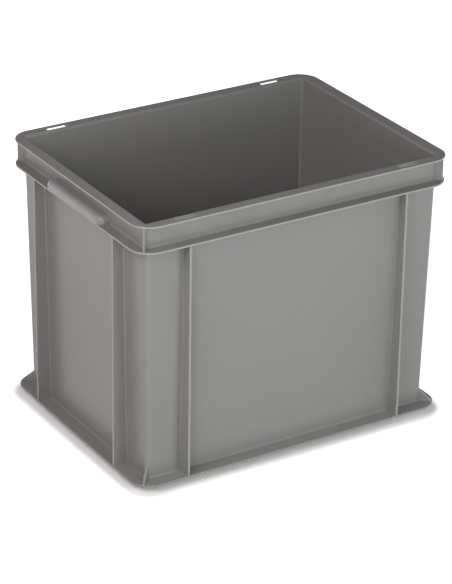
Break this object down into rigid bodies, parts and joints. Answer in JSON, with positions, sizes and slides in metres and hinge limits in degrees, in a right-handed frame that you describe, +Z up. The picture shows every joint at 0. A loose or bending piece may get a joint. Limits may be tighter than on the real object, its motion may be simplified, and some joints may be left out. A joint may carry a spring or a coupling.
{
  "type": "euro stacking container",
  "caption": "Grey stacking box moulded in one piece: tapered walls, flanged rim, upright ribs, shell grips on the short sides, base flange and foot for stacking.",
  "frame": {"origin": "middle of the footprint, at floor level", "axes": "+X along the long side, +Y along the short side, +Z up, out of the open top"},
  "size_m": [0.4, 0.3, 0.32],
  "materials": {
    "grey_plastic": "satin"
  },
  "bodies": {
    "root": {"container": "grey_plastic"}
  },
  "joints": []
}
